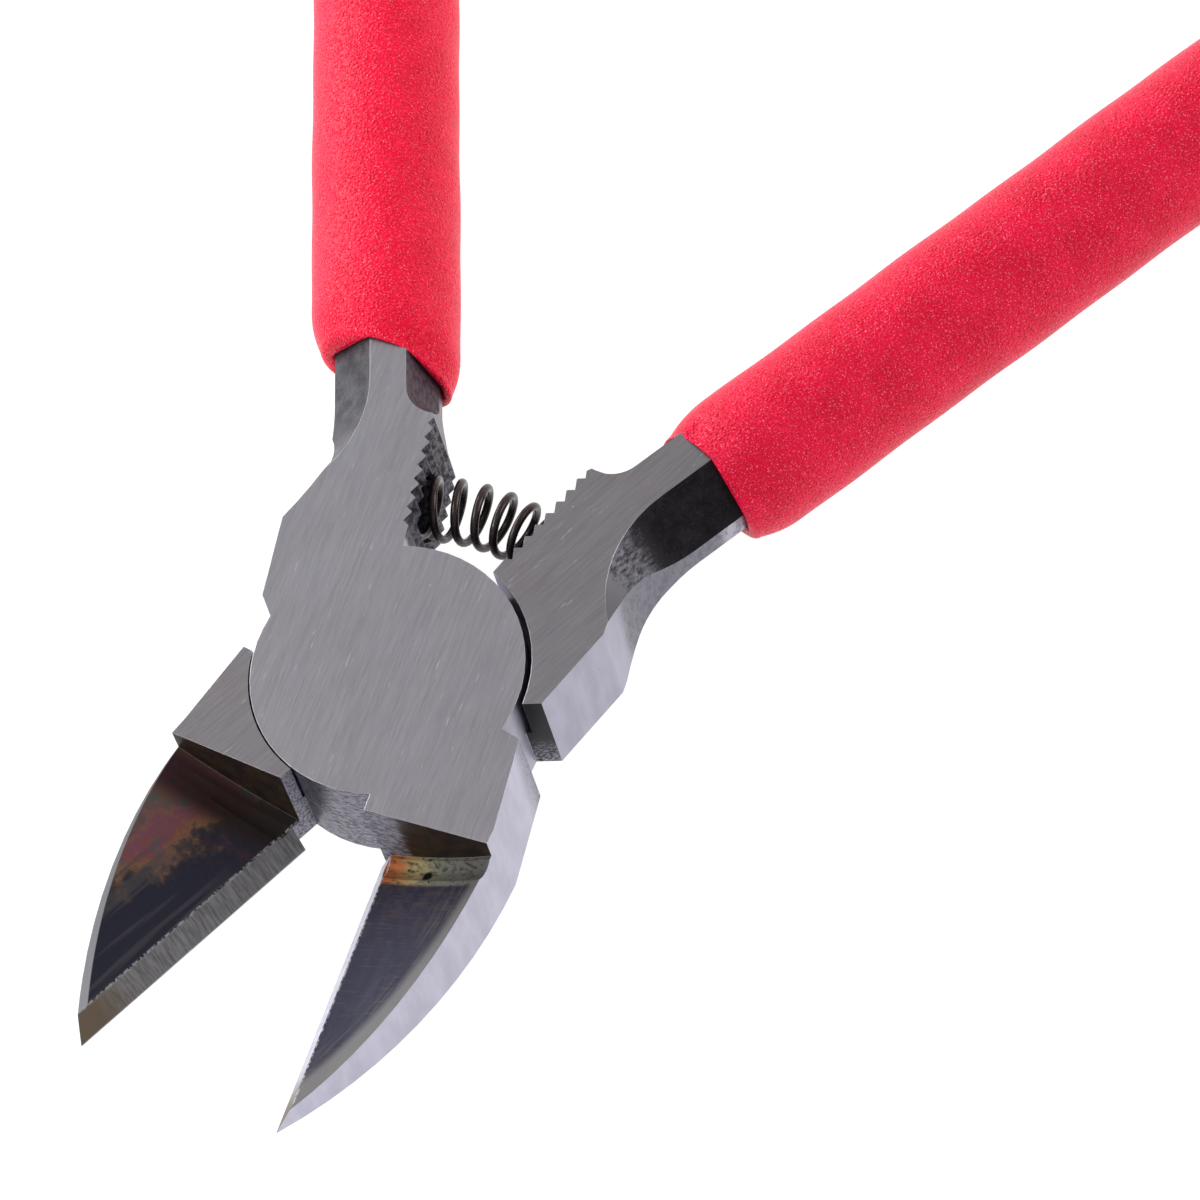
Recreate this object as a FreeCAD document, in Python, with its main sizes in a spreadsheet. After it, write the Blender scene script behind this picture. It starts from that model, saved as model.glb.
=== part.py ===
import FreeCAD, Part
import math
import os

import Sketcher

# Spring-opened side cutters with a riveted lap joint and sleeved handles.
#
# Model frame: origin on the pivot axis at the back face of the head, +Z towards the front
# face, +Y towards the handles, the jaws open symmetrically about -Y.
#
# Each half is drawn closed, in its own frame: origin on the pivot axis at mid-thickness, the
# cutting edge parallel to Y at x = bite.  The handles are drawn in two further plan frames:
# the closing frame, whose Y is the line midway between the closed handles, and the handle
# frame, whose Y runs along one handle.  Placement opens the two halves.

SIZES = [
    # head and lap joint
    ("thickness", 8.0), ("lap_gap", 0.04), ("disc_radius", 9.0),
    ("seat_radius_handle", 9.42), ("seat_radius_blade", 9.12),
    ("half_opening", 14.2), ("skew", 7.5), ("splay", 13.0),
    # rivet
    ("rivet_radius", 2.75), ("rivet_head_radius", 3.6), ("rivet_head_depth", 1.2),
    ("rivet_clearance", 0.05),
    # neck, in the closing frame
    ("face_offset", 1.0), ("face_top", 18.4), ("face_lead", 1.1), ("wall_top", 10.1),
    ("waist_radius", 30.0), ("throat_radius", 6.0), ("notch_offset", 8.35),
    ("front_wall_offset", 9.45), ("front_wall_foot", 4.3), ("front_notch_foot", 2.5),
    ("front_waist_offset", 7.25), ("front_waist_height", 14.65), ("front_throat_top", 18.9),
    ("back_wall_offset", 9.85), ("back_wall_foot", 3.95), ("back_notch_foot", 2.8),
    ("back_waist_offset", 8.6), ("back_waist_height", 13.6), ("back_throat_top", 18.4),
    # serrations and spring seat, in the closing frame
    ("tooth_pitch", 1.05), ("tooth_depth", 0.42), ("tooth_start", 10.5), ("tooth_count", 8),
    ("tooth_lead", 0.3), ("tooth_share", 0.92), ("tooth_overcut", 0.6),
    ("seat_distance", 14.0), ("seat_hole_radius", 2.35), ("seat_depth", 3.2),
    # handle core, in the handle frame: outer edge, inner edge, chamfers
    ("front_core_outer", 4.15), ("back_core_outer", 4.65), ("core_inner", 2.85),
    ("front_flat_outer", 1.15), ("back_flat_outer", 1.65), ("flat_inner", 1.25),
    ("outer_fall", 3.2), ("inner_fall", 3.45), ("fall_overcut", 1.07), ("neck_end", 27.5),
    ("core_overlap", 0.4), ("front_scallop_start", 22.0), ("back_scallop_start", 20.9),
    ("scallop_radius", 9.0), ("scallop_turn", 75.0),
    ("inner_scallop_start", 21.0), ("inner_scallop_radius", 2.3), ("inner_scallop_turn", 80.0),
    ("bend_start", 78.0), ("bend_radius", 150.0), ("bend_angle", 16.5),
    # blades
    ("bite", 1.8), ("heel_land", 0.1), ("edge_land", 0.05), ("bevel_run", 0.95), ("bevel_rise", 1.9),
    ("hollow_end", 10.6), ("hollow_rise", 7.75), ("hollow_radius", 30.0),
    ("groove_sink", 0.3), ("root_inset", 2.4), ("root_rise", 0.7),
    ("front_reach", 29.5), ("front_width", 8.9), ("front_width_at", 9.0),
    ("front_shoulder", 8.3), ("front_shoulder_at", 2.6), ("front_curve", 34.3),
    ("front_setback", 0.3), ("front_heel", 10.1), ("front_step", 9.9), ("front_tilt", 1.3),
    ("front_groove", 1.0),
    ("back_reach", 30.0), ("back_width", 8.75), ("back_width_at", 11.6),
    ("back_shoulder", 9.95), ("back_shoulder_at", 5.4), ("back_curve", 32.3),
    ("back_setback", 0.9), ("back_heel", 10.7), ("back_step", 9.6), ("back_tilt", 19.9),
    ("back_groove", 1.5),
    # grips, in the handle frame
    ("grip_radius", 5.05), ("front_grip_centre", 0.85), ("back_grip_centre", 1.3),
    ("grip_end_wall", 2.4), ("grip_end_round", 3.6),
    ("grip_start", 19.5), ("mouth_rise", 0.9), ("front_mouth_inner", 22.1),
    ("front_mouth_outer", 26.3), ("back_mouth_inner", 23.8), ("back_mouth_outer", 24.9),
    # return spring
    ("wire_radius", 0.28), ("coil_radius", 1.95), ("turns", 10.5), ("closed_pitch", 0.6),
    ("seat_slack", 0.07), ("points_per_turn", 12),
]

doc = FreeCAD.newDocument("side_cutters")
sheet = doc.addObject("Spreadsheet::Sheet", "Sizes")
for row, (alias, number) in enumerate(SIZES, start=1):
    sheet.set(f"A{row}", alias)
    sheet.set(f"B{row}", str(number))
    sheet.setAlias(f"B{row}", alias)
doc.recompute()


def value(expression):
    """The number that an expression over the sheet gives."""
    result = sheet.evalExpression(str(expression))
    return float(getattr(result, "Value", result))


def size(alias):
    return float(sheet.get(alias))


def bind(item, **expressions):
    for name, expression in expressions.items():
        item.setExpression(name, str(expression))


def plane(body, role):
    return next(f for f in body.Origin.OriginFeatures if f.Role == role)


def addSketch(body, name, role, shift=(0, 0, 0), turn=None):
    """A sketch on one of the body's own planes, shifted and turned by expressions."""
    sketch = body.newObject("Sketcher::SketchObject", name)
    sketch.AttachmentSupport = (plane(body, role), [""])
    sketch.MapMode = "FlatFace"
    offset = FreeCAD.Vector(*[value(s) for s in shift])
    degrees = value(turn) if turn is not None else 0.0
    about = FreeCAD.Rotation(FreeCAD.Vector(0, 0, 1), degrees)
    sketch.AttachmentOffset = FreeCAD.Placement(offset, about)
    for axis, expression in zip("xyz", shift):
        if expression != 0:
            sketch.setExpression(f"AttachmentOffset.Base.{axis}", str(expression))
    if turn is not None:
        sketch.setExpression("AttachmentOffset.Rotation.Angle", str(turn))
    return sketch


def arcShape(a, b, radius):
    """The arc from a to b; a positive radius bulges to the right of the way from a to b."""
    middle = (a + b) * 0.5
    half = (b - a).Length / 2
    side = FreeCAD.Vector(b.y - a.y, a.x - b.x, 0).normalize() * math.copysign(1.0, radius)
    rise = abs(radius) - math.sqrt(radius * radius - half * half)
    edge = Part.Arc(a, middle + side * rise, b).toShape()
    return Part.ArcOfCircle(edge.Curve, edge.FirstParameter, edge.LastParameter)


def constrain(sketch, expression, *what):
    """A dimension of a sketch, bound to the sheet."""
    index = sketch.addConstraint(Sketcher.Constraint(*what, value(expression)))
    sketch.setExpression(f"Constraints[{index}]", str(expression))


def pin(sketch, item, end, corner):
    constrain(sketch, corner[0], "DistanceX", -1, 1, item, end)
    constrain(sketch, corner[1], "DistanceY", -1, 1, item, end)


def outline(sketch, corners, arcs=None, closed=True):
    """Lines from corner to corner, with an arc where `arcs` gives that side's radius.

    Every corner's coordinates and every radius are bound to the sheet.
    """
    arcs = arcs or {}
    points = [FreeCAD.Vector(value(x), value(y), 0) for x, y in corners]
    sides = len(points) if closed else len(points) - 1
    ends = []
    for i in range(sides):
        a, b = points[i], points[(i + 1) % len(points)]
        shape = arcShape(a, b, value(arcs[i])) if i in arcs else Part.LineSegment(a, b)
        sketch.addGeometry(shape, False)
        ends.append((1, 2) if (sketch.getPoint(i, 1) - a).Length < 1e-6 else (2, 1))
    for i in range(sides if closed else sides - 1):
        after = (i + 1) % sides
        sketch.addConstraint(Sketcher.Constraint("Coincident", i, ends[i][1], after, ends[after][0]))
    for i in range(sides):
        pin(sketch, i, ends[i][0], corners[i])
    if not closed:
        pin(sketch, sides - 1, ends[-1][1], corners[-1])
    for i, radius in arcs.items():
        constrain(sketch, f"abs({radius})", "Radius", i)


def circle(sketch, centre, radius):
    at = FreeCAD.Vector(value(centre[0]), value(centre[1]), 0)
    item = sketch.addGeometry(Part.Circle(at, FreeCAD.Vector(0, 0, 1), value(radius)), False)
    pin(sketch, item, 3, centre)
    constrain(sketch, radius, "Radius", item)


def extrude(body, kind, sketch, length, **settings):
    """A Pad or Pocket whose length is bound to the sheet."""
    feature = body.newObject(f"PartDesign::{kind}", f"{sketch.Name}_{kind.lower()}")
    feature.Profile = sketch
    feature.Length = value(length)
    bind(feature, Length=length)
    for name, setting in settings.items():
        setattr(feature, name, setting)
    sketch.Visibility = False
    return feature


def own(side, name):
    """The size of that name that belongs to one half: the back one on the right."""
    return f"Sizes.{'back' if side > 0 else 'front'}_{name}"


def handleTurn(side):
    """Degrees from the body's Y to the handle frame's Y; side is 1 on the right, -1 on the left."""
    return f"Sizes.skew - ({side}) * Sizes.splay"


def alongHandle(side, s, outward):
    """A point of the handle frame, given in the closing frame."""
    lean = "Sizes.splay * 1 deg"
    return (f"({side}) * (({s}) * sin({lean}) + ({outward}) * cos({lean}))",
            f"({s}) * cos({lean}) - ({outward}) * sin({lean})")


def coreSection(side):
    """The handle core's eight corners: a flat, two long falls, an edge land and their mirror."""
    outer, inner = own(side, "core_outer"), "-Sizes.core_inner"
    flatOuter, flatInner = own(side, "flat_outer"), "-Sizes.flat_inner"
    top = "Sizes.thickness / 2"
    front = [(flatInner, top), (flatOuter, top), (outer, f"{top} - Sizes.outer_fall"),
             (outer, f"-({top} - Sizes.outer_fall)")]
    back = [(flatOuter, f"-{top}"), (flatInner, f"-{top}"), (inner, f"-({top} - Sizes.inner_fall)"),
            (inner, f"{top} - Sizes.inner_fall")]
    return [(f"({side}) * ({x})", z) for x, z in front + back]


def handlePath(body, name, side, start, end_bend, centre="0"):
    """The handle's line at mid-thickness: straight, then one bend towards the other handle."""
    sketch = addSketch(body, name, "XY_Plane", turn=handleTurn(side))
    sweep = f"({end_bend}) * 1 deg"
    corners = [(f"({side}) * ({centre})", start), (f"({side}) * ({centre})", "Sizes.bend_start"),
               (f"({side}) * (({centre}) - Sizes.bend_radius * (1 - cos({sweep})))",
                f"Sizes.bend_start + Sizes.bend_radius * sin({sweep})")]
    outline(sketch, corners, {1: f"({side}) * Sizes.bend_radius"}, closed=False)
    return sketch


def sectionPlane(body, name, side, s):
    """A sketch square to the handle at distance s along it: X outward on the right, Y up."""
    turn = value(handleTurn(side))
    along = FreeCAD.Rotation(FreeCAD.Vector(0, 0, 1), turn).multVec(FreeCAD.Vector(0, value(s), 0))
    sketch = body.newObject("Sketcher::SketchObject", name)
    sketch.AttachmentSupport = (plane(body, "XZ_Plane"), [""])
    sketch.MapMode = "FlatFace"
    base = FreeCAD.Vector(along.x, 0, -along.y)
    sketch.AttachmentOffset = FreeCAD.Placement(base, FreeCAD.Rotation(FreeCAD.Vector(0, 1, 0), turn))
    bind(sketch, **{"AttachmentOffset.Base.x": f"-({s}) * sin(({handleTurn(side)}) * 1 deg)",
                    "AttachmentOffset.Base.z": f"-({s}) * cos(({handleTurn(side)}) * 1 deg)",
                    "AttachmentOffset.Rotation.Angle": handleTurn(side)})
    return sketch


def sweep(body, kind, name, profile, path):
    feature = body.newObject(f"PartDesign::{kind}", name)
    feature.Profile = profile
    feature.Spine = path
    feature.Transition = 1
    profile.Visibility = path.Visibility = False
    return feature


def padHead(body, side):
    """The lap disc and the neck: a plate of full thickness, before the lap seat is cut."""
    disc = addSketch(body, f"{body.Name}_disc", "XY_Plane")
    circle(disc, ("0", "0"), "Sizes.disc_radius")
    extrude(body, "Pad", disc, "Sizes.thickness", Midplane=True)
    neck = addSketch(body, f"{body.Name}_neck", "XY_Plane", turn="Sizes.skew")
    x = f"({side}) * "
    corners = [
        (x + "Sizes.face_offset", "Sizes.disc_radius / 2"),
        (x + "Sizes.face_offset", "Sizes.face_top"),
        alongHandle(side, "Sizes.face_top + Sizes.face_lead", "-Sizes.core_inner"),
        alongHandle(side, "Sizes.neck_end", "-Sizes.core_inner"),
        alongHandle(side, "Sizes.neck_end", own(side, "core_outer")),
        alongHandle(side, own(side, "throat_top"), own(side, "core_outer")),
        (x + own(side, "waist_offset"), own(side, "waist_height")),
        (x + own(side, "wall_offset"), "Sizes.wall_top"),
        (x + own(side, "wall_offset"), own(side, "wall_foot")),
        (x + "Sizes.notch_offset", own(side, "notch_foot")),
    ]
    outline(neck, corners, {5: f"({side}) * Sizes.throat_radius", 6: f"({side}) * Sizes.waist_radius"})
    extrude(body, "Pad", neck, "Sizes.thickness", Midplane=True)


def padBlade(body, side):
    """The blade's plate: setback behind the heel, the edge, the point, the curved back."""
    blade = addSketch(body, f"{body.Name}_blade", "XY_Plane")
    heel, shoulder, shoulderAt = own(side, "heel"), own(side, "shoulder"), own(side, "shoulder_at")

    def at(width, drop):
        return (f"Sizes.bite - ({side}) * ({width})", f"-({drop})")

    corners = [at(own(side, "setback"), "Sizes.disc_radius / 2"),
               at(own(side, "setback"), f"{heel} - Sizes.heel_land"),
               at("0", heel), at("0", own(side, "reach")),
               at(own(side, "width"), own(side, "width_at")), at(shoulder, shoulderAt),
               at(f"{shoulder} - Sizes.root_inset", f"{shoulderAt} - Sizes.root_rise")]
    outline(blade, corners, {3: f"-({side}) * {own(side, 'curve')}"})
    extrude(body, "Pad", blade, "Sizes.thickness", Midplane=True)


def cutSeat(body, front):
    """Half the thickness away round the pivot, wider on the handle side."""
    up = -1 if front else 1
    seat = addSketch(body, f"{body.Name}_seat", "XY_Plane", shift=(0, 0, f"{-up} * Sizes.lap_gap / 2"))
    wide, close = "Sizes.seat_radius_handle", "Sizes.seat_radius_blade"
    corners = [(wide, "0"), ("0", wide), (f"-{wide}", "0"),
               (f"-{close}", "0"), ("0", f"-{close}"), (close, "0")]
    outline(seat, corners, {0: wide, 1: wide, 3: close, 4: close})
    extrude(body, "Pocket", seat, "Sizes.thickness", Reversed=not front)


def turnedPlane(body, name, role, degrees, shift=(0, 0, 0)):
    """A sketch on an upright plane of the body, turned about the body's Z and shifted."""
    sketch = body.newObject("Sketcher::SketchObject", name)
    sketch.AttachmentSupport = (plane(body, role), [""])
    sketch.MapMode = "FlatFace"
    about = FreeCAD.Rotation(FreeCAD.Vector(0, 1, 0), value(degrees))
    sketch.AttachmentOffset = FreeCAD.Placement(FreeCAD.Vector(*[value(s) for s in shift]), about)
    for axis, expression in zip("xyz", shift):
        if expression != 0:
            sketch.setExpression(f"AttachmentOffset.Base.{axis}", str(expression))
    sketch.setExpression("AttachmentOffset.Rotation.Angle", str(degrees))
    return sketch


def grindBlade(body, side):
    """The steep cutting bevel and the hollow behind it, below a step across the blade."""
    tilt = own(side, "tilt")
    grind = turnedPlane(body, f"{body.Name}_hollow", "XZ_Plane", f"({side}) * {tilt}",
                        ("Sizes.bite", 0, own(side, "step")))

    def at(width, height):
        return (f"-({side}) * ({width}) / cos({tilt} * 1 deg)", f"{height} - Sizes.thickness / 2")

    corners = [at("0", "Sizes.edge_land"), at("Sizes.bevel_run", "Sizes.bevel_rise"),
               at("Sizes.hollow_end", "Sizes.hollow_rise"), at("Sizes.hollow_end", "Sizes.thickness + 1"),
               at("-1", "Sizes.thickness + 1"), at("-1", "Sizes.edge_land")]
    outline(grind, corners, {1: f"-({side}) * Sizes.hollow_radius"})
    extrude(body, "Pocket", grind, own(side, "reach"), UseCustomVector=True,
            Direction=FreeCAD.Vector(0, -1, 0), AlongSketchNormal=False)
    grooveStep(body, side)


def grooveStep(body, side):
    """A round-bottomed groove along the foot of the step, on the hollow's own arc."""
    tilt, radius = math.radians(value(own(side, "tilt"))), own(side, "groove")
    run = value("Sizes.hollow_end - Sizes.bevel_run") / math.cos(tilt)
    rise = value("Sizes.hollow_rise - Sizes.bevel_rise")
    chord = math.hypot(run, rise)
    toCentre = math.sqrt(size("hollow_radius") ** 2 - (chord / 2) ** 2)
    out = size("bevel_run") / math.cos(tilt) + run / 2 - rise / chord * toCentre
    up = size("bevel_rise") + rise / 2 + run / chord * toCentre - size("thickness") / 2
    turn = side * tilt
    outward = FreeCAD.Vector(math.cos(turn), math.sin(turn), 0) * -side
    down = FreeCAD.Vector(math.sin(turn), -math.cos(turn), 0)
    base = FreeCAD.Vector(size("bite"), -value(own(side, "step")), 0)
    centre = base + outward * out + FreeCAD.Vector(0, 0, up) + down * value(radius)
    groove = body.newObject("PartDesign::SubtractiveTorus", f"{body.Name}_groove")
    bind(groove, Radius1=f"Sizes.hollow_radius - {radius} + Sizes.groove_sink", Radius2=radius)
    groove.Placement = FreeCAD.Placement(centre, FreeCAD.Rotation(FreeCAD.Vector(0, 0, 1), down))


def cutFall(body, side, way, flat, edge, fall, scallop, start):
    """One long fall beside the flat: a straight cut along the handle and a turned run-out.

    way is 1 for the fall on the handle's outer edge, -1 for the inner one.
    """
    out, top = f"({side * way}) * ", "Sizes.thickness / 2"
    far = f"{flat} + ({edge} - {flat}) * Sizes.fall_overcut"
    triangle = [(out + flat, top), (f"{out}({far})", f"{top} - ({fall}) * Sizes.fall_overcut"),
                (f"{out}({far})", top)]
    name = f"{body.Name}_{scallop}"
    straight = sectionPlane(body, f"{name}_fall", side, start)
    outline(straight, triangle)
    cut = extrude(body, "Pocket", straight, f"Sizes.neck_end + 1 - {start}", Reversed=False)
    turned = sectionPlane(body, f"{name}_runout", side, start)
    outline(turned, triangle)
    axis = f"{out}({flat} + Sizes.{scallop}_radius)"
    foot, head = FreeCAD.Vector(value(axis), 0, 0), FreeCAD.Vector(value(axis), value(top), 0)
    line = turned.addGeometry(Part.LineSegment(foot, head), True)
    pin(turned, line, 1, (axis, "0"))
    pin(turned, line, 2, (axis, top))
    scoop = body.newObject("PartDesign::Groove", f"{name}_scoop")
    scoop.Profile = turned
    scoop.ReferenceAxis = (turned, ["Axis0"])
    scoop.Angle = size(f"{scallop}_turn")
    scoop.Reversed = side * way < 0
    bind(scoop, Angle=f"Sizes.{scallop}_turn")
    turned.Visibility = False
    return [cut, scoop]


def chamferHandle(body, side):
    """Long falls on both edges of both faces of the handle."""
    cuts = cutFall(body, side, 1, own(side, "flat_outer"), own(side, "core_outer"), "Sizes.outer_fall",
                   "scallop", own(side, "scallop_start"))
    cuts += cutFall(body, side, -1, "Sizes.flat_inner", "Sizes.core_inner", "Sizes.inner_fall",
                    "inner_scallop", "Sizes.inner_scallop_start")
    mirrored = body.newObject("PartDesign::Mirrored", f"{body.Name}_back_falls")
    mirrored.Originals = cuts
    mirrored.MirrorPlane = (plane(body, "XY_Plane"), [""])
    body.Tip = mirrored


def padHandle(body, side):
    """The core inside the grip: one section along a straight and a bend."""
    start = "Sizes.neck_end - Sizes.core_overlap"
    profile = sectionPlane(body, f"{body.Name}_core", side, start)
    outline(profile, coreSection(side))
    path = handlePath(body, f"{body.Name}_core_line", side, start, "Sizes.bend_angle")
    sweep(body, "AdditivePipe", f"{body.Name}_handle", profile, path)


def cutTeeth(body, side):
    """Saw-shaped ridges across the neck's inner face."""
    tooth = addSketch(body, f"{body.Name}_tooth", "XY_Plane", turn="Sizes.skew")
    face, pitch = "Sizes.face_offset", "Sizes.tooth_pitch"
    clear, end = f"{face} - Sizes.tooth_overcut", f"Sizes.tooth_start + {pitch} * Sizes.tooth_share"
    root = f"Sizes.tooth_start + {pitch} * Sizes.tooth_lead"
    corners = [(f"({side}) * ({clear})", "Sizes.tooth_start"), (f"({side}) * {face}", "Sizes.tooth_start"),
               (f"({side}) * ({face} + Sizes.tooth_depth)", root),
               (f"({side}) * {face}", end), (f"({side}) * ({clear})", end)]
    outline(tooth, corners)
    cut = extrude(body, "Pocket", tooth, "Sizes.thickness + 2", Midplane=True)
    row = body.newObject("PartDesign::LinearPattern", f"{body.Name}_teeth")
    row.Originals = [cut]
    row.Direction = (tooth, ["V_Axis"])
    row.Length = value("Sizes.tooth_pitch * (Sizes.tooth_count - 1)")
    bind(row, Length="Sizes.tooth_pitch * (Sizes.tooth_count - 1)", Occurrences="Sizes.tooth_count")
    row.Occurrences = int(size("tooth_count"))
    body.Tip = row


def drillSeat(body, side):
    """The blind hole that holds one end of the return spring, square to the serrated face."""
    seat = turnedPlane(body, f"{body.Name}_spring_seat", "YZ_Plane", "Sizes.skew")
    circle(seat, ("Sizes.seat_distance", "0"), "Sizes.seat_hole_radius")
    extrude(body, "Pocket", seat, "Sizes.face_offset + Sizes.seat_depth", Reversed=side > 0)


def boreRivet(body, front):
    """The rivet's bore and its countersink: tight in the front half, running in the back one."""
    slack = "0" if front else "Sizes.rivet_clearance"
    bore = addSketch(body, f"{body.Name}_bore", "XZ_Plane")
    up = "1" if front else "-1"
    face = "Sizes.thickness / 2"
    past, beyond = f"{up} * (-1)", f"{up} * ({face} + 1)"
    shank, rim = f"Sizes.rivet_radius + {slack}", f"Sizes.rivet_head_radius + {slack}"
    corners = [("0", past), (shank, past), (shank, f"{up} * ({face} - Sizes.rivet_head_depth)"),
               (rim, f"{up} * {face}"), (rim, beyond), ("0", beyond)]
    outline(bore, corners)
    cut = body.newObject("PartDesign::Groove", f"{body.Name}_bore_cut")
    cut.Profile = bore
    cut.ReferenceAxis = (bore, ["V_Axis"])
    cut.Angle = 360
    bore.Visibility = False


def makeHalf(name, front):
    """One half of the cutters: its handle on the left and blade on the right, or the reverse."""
    side = -1 if front else 1
    body = doc.addObject("PartDesign::Body", name)
    body.Label = name
    doc.recompute()
    padHead(body, side)
    padBlade(body, side)
    cutSeat(body, front)
    grindBlade(body, side)
    chamferHandle(body, side)
    padHandle(body, side)
    cutTeeth(body, side)
    drillSeat(body, side)
    boreRivet(body, front)
    doc.recompute()
    return body


def makeGrip(name, front):
    """A dipped sleeve: closed and rounded at the handle's end, its mouth slanted and arched."""
    side = -1 if front else 1
    body = doc.addObject("PartDesign::Body", name)
    body.Label = name
    doc.recompute()
    skin = sectionPlane(body, f"{name}_skin", side, "Sizes.grip_start")
    centre = own(side, "grip_centre")
    circle(skin, (f"({side}) * {centre}", "0"), "Sizes.grip_radius")
    reach = "Sizes.bend_angle + Sizes.grip_end_wall / Sizes.bend_radius * 180 / pi"
    line = handlePath(body, f"{name}_line", side, "Sizes.grip_start", reach, centre)
    sleeve = sweep(body, "AdditivePipe", f"{name}_sleeve", skin, line)
    doc.recompute()
    rims = [i for i, edge in enumerate(sleeve.Shape.Edges, start=1) if edge.isClosed()]
    end = max(rims, key=lambda i: sleeve.Shape.Edges[i - 1].CenterOfMass.Length)
    rounded = body.newObject("PartDesign::Fillet", f"{name}_end")
    rounded.Base = (sleeve, [f"Edge{end}"])
    bind(rounded, Radius="Sizes.grip_end_round")
    doc.recompute()
    hollow = sectionPlane(body, f"{name}_hollow", side, "Sizes.grip_start")
    outline(hollow, coreSection(side))
    core = handlePath(body, f"{name}_core_line", side, "Sizes.grip_start", "Sizes.bend_angle")
    sweep(body, "SubtractivePipe", f"{name}_cavity", hollow, core)
    cutMouth(body, side)
    doc.recompute()
    return body


def cutMouth(body, side):
    """Takes the sleeve's start away along a slanted line, and a little more at both faces."""
    mouth = addSketch(body, f"{body.Name}_mouth", "XY_Plane", turn=handleTurn(side))
    inner = f"({side}) * ({own(side, 'grip_centre')} - 2 * Sizes.grip_radius)"
    outer = f"({side}) * ({own(side, 'grip_centre')} + 2 * Sizes.grip_radius)"
    near, far, clear = own(side, "mouth_inner"), own(side, "mouth_outer"), "Sizes.grip_start / 2"
    overrun = f"({far} - {near}) / 2"
    outline(mouth, [(inner, f"{near} - {overrun}"), (outer, f"{far} + {overrun}"),
                    (outer, clear), (inner, clear)])
    extrude(body, "Pocket", mouth, "Sizes.grip_radius * 4", Midplane=True)
    arch = turnedPlane(body, f"{body.Name}_arch", "YZ_Plane", handleTurn(side))
    rise, rim = "Sizes.mouth_rise", "Sizes.grip_radius"
    middle = f"({near} + {far}) / 2"
    radius = f"({rim} * {rim} + {rise} * {rise}) / (2 * {rise})"
    outline(arch, [(f"{middle} + {rise}", rim), (f"{middle} + {rise}", f"-{rim}"),
                   (clear, f"-{rim}"), (clear, rim)], {0: f"-({radius})"})
    extrude(body, "Pocket", arch, "Sizes.grip_radius * 4", Midplane=True)


def makeRivet():
    """A flush rivet: a plain shank between two countersunk heads."""
    body = doc.addObject("PartDesign::Body", "pivot_rivet")
    body.Label = "pivot_rivet"
    doc.recompute()
    half = addSketch(body, "rivet_half", "XZ_Plane")
    face = "Sizes.thickness / 2"
    waist = f"({face} - Sizes.rivet_head_depth)"
    shank, rim = "Sizes.rivet_radius", "Sizes.rivet_head_radius"
    corners = [("0", f"-{face}"), (rim, f"-{face}"), (shank, f"-{waist}"),
               (shank, waist), (rim, face), ("0", face)]
    outline(half, corners)
    turned = body.newObject("PartDesign::Revolution", "rivet_turned")
    turned.Profile = half
    turned.ReferenceAxis = (half, ["V_Axis"])
    turned.Angle = 360
    doc.recompute()
    return body


def springLine(length, opening):
    """Centre line of the spring, in the closing frame of the half-open tool.

    Out of one seat, round the pivot at the seats' distance, and into the other seat.
    Returns the point and the direction at that length from the spring's first end.
    """
    distance = size("seat_distance")
    arc = distance * 2 * opening
    at = length - springStraight()
    turn = opening - min(max(at, 0), arc) / distance
    past = min(at, 0) + max(at - arc, 0)
    out = FreeCAD.Vector(-math.sin(turn), math.cos(turn), 0)
    way = FreeCAD.Vector(math.cos(turn), math.sin(turn), 0)
    return out * distance + way * past, way


def springStraight():
    """The straight run at each end, from the closing line to the end turn in its seat."""
    return value("Sizes.face_offset + Sizes.seat_depth - Sizes.wire_radius - Sizes.seat_slack")


def springAdvance(turn, total):
    """How far along the spring a turn lies: the first and last turns are nearly closed."""
    turns, closed = size("turns"), size("closed_pitch")
    if turn < 1:
        return closed * turn
    if turn > turns - 1:
        return total - closed * (turns - turn)
    return closed + (turn - 1) / (turns - 2) * (total - 2 * closed)


def makeSpring():
    """A compression spring of round wire, its end turns nearly closed, bent round the pivot."""
    opening = math.radians(size("half_opening"))
    total = 2 * springStraight() + size("seat_distance") * 2 * opening
    steps = int(size("points_per_turn"))
    points = []
    for i in range(int(size("turns") * steps) + 1):
        turn = i / steps
        centre, way = springLine(springAdvance(turn, total), opening)
        across = way.cross(FreeCAD.Vector(0, 0, 1))
        phase = 2 * math.pi * turn
        points.append(centre + across * (size("coil_radius") * math.cos(phase))
                      + FreeCAD.Vector(0, 0, -size("coil_radius") * math.sin(phase)))
    curve = Part.BSplineCurve()
    curve.interpolate(points)
    path = Part.Wire(curve.toShape())
    direction = curve.tangent(curve.FirstParameter)[0]
    section = Part.Wire(Part.Circle(points[0], direction, size("wire_radius")).toShape())
    spring = doc.addObject("Part::Feature", "return_spring")
    spring.Label = "return_spring"
    spring.Shape = path.makePipeShell([section], True, True)
    return spring


def place(item, degrees):
    item.Placement = FreeCAD.Placement(FreeCAD.Vector(0, 0, size("thickness") / 2),
                                       FreeCAD.Rotation(FreeCAD.Vector(0, 0, 1), degrees))


def save(items):
    """Refuses a failed feature or an invalid shape, then writes one STEP file for each piece."""
    doc.recompute()
    for item in doc.Objects:
        if "Invalid" in item.State or "Error" in item.State:
            raise RuntimeError(f"{item.Name} failed: {item.State}")
    os.makedirs("parts", exist_ok=True)
    for item in items:
        shape = item.Shape
        if shape.isNull() or not shape.isValid() or len(shape.Solids) != 1:
            raise RuntimeError(f"{item.Label} isn't one valid solid")
        box = shape.BoundBox
        print(f"{item.Label}: {shape.Volume:.1f} mm3, x {box.XMin:.1f} {box.XMax:.1f}, "
              f"y {box.YMin:.1f} {box.YMax:.1f}, z {box.ZMin:.2f} {box.ZMax:.2f}")
        shape.exportStep(f"parts/{item.Label}.step")


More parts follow.
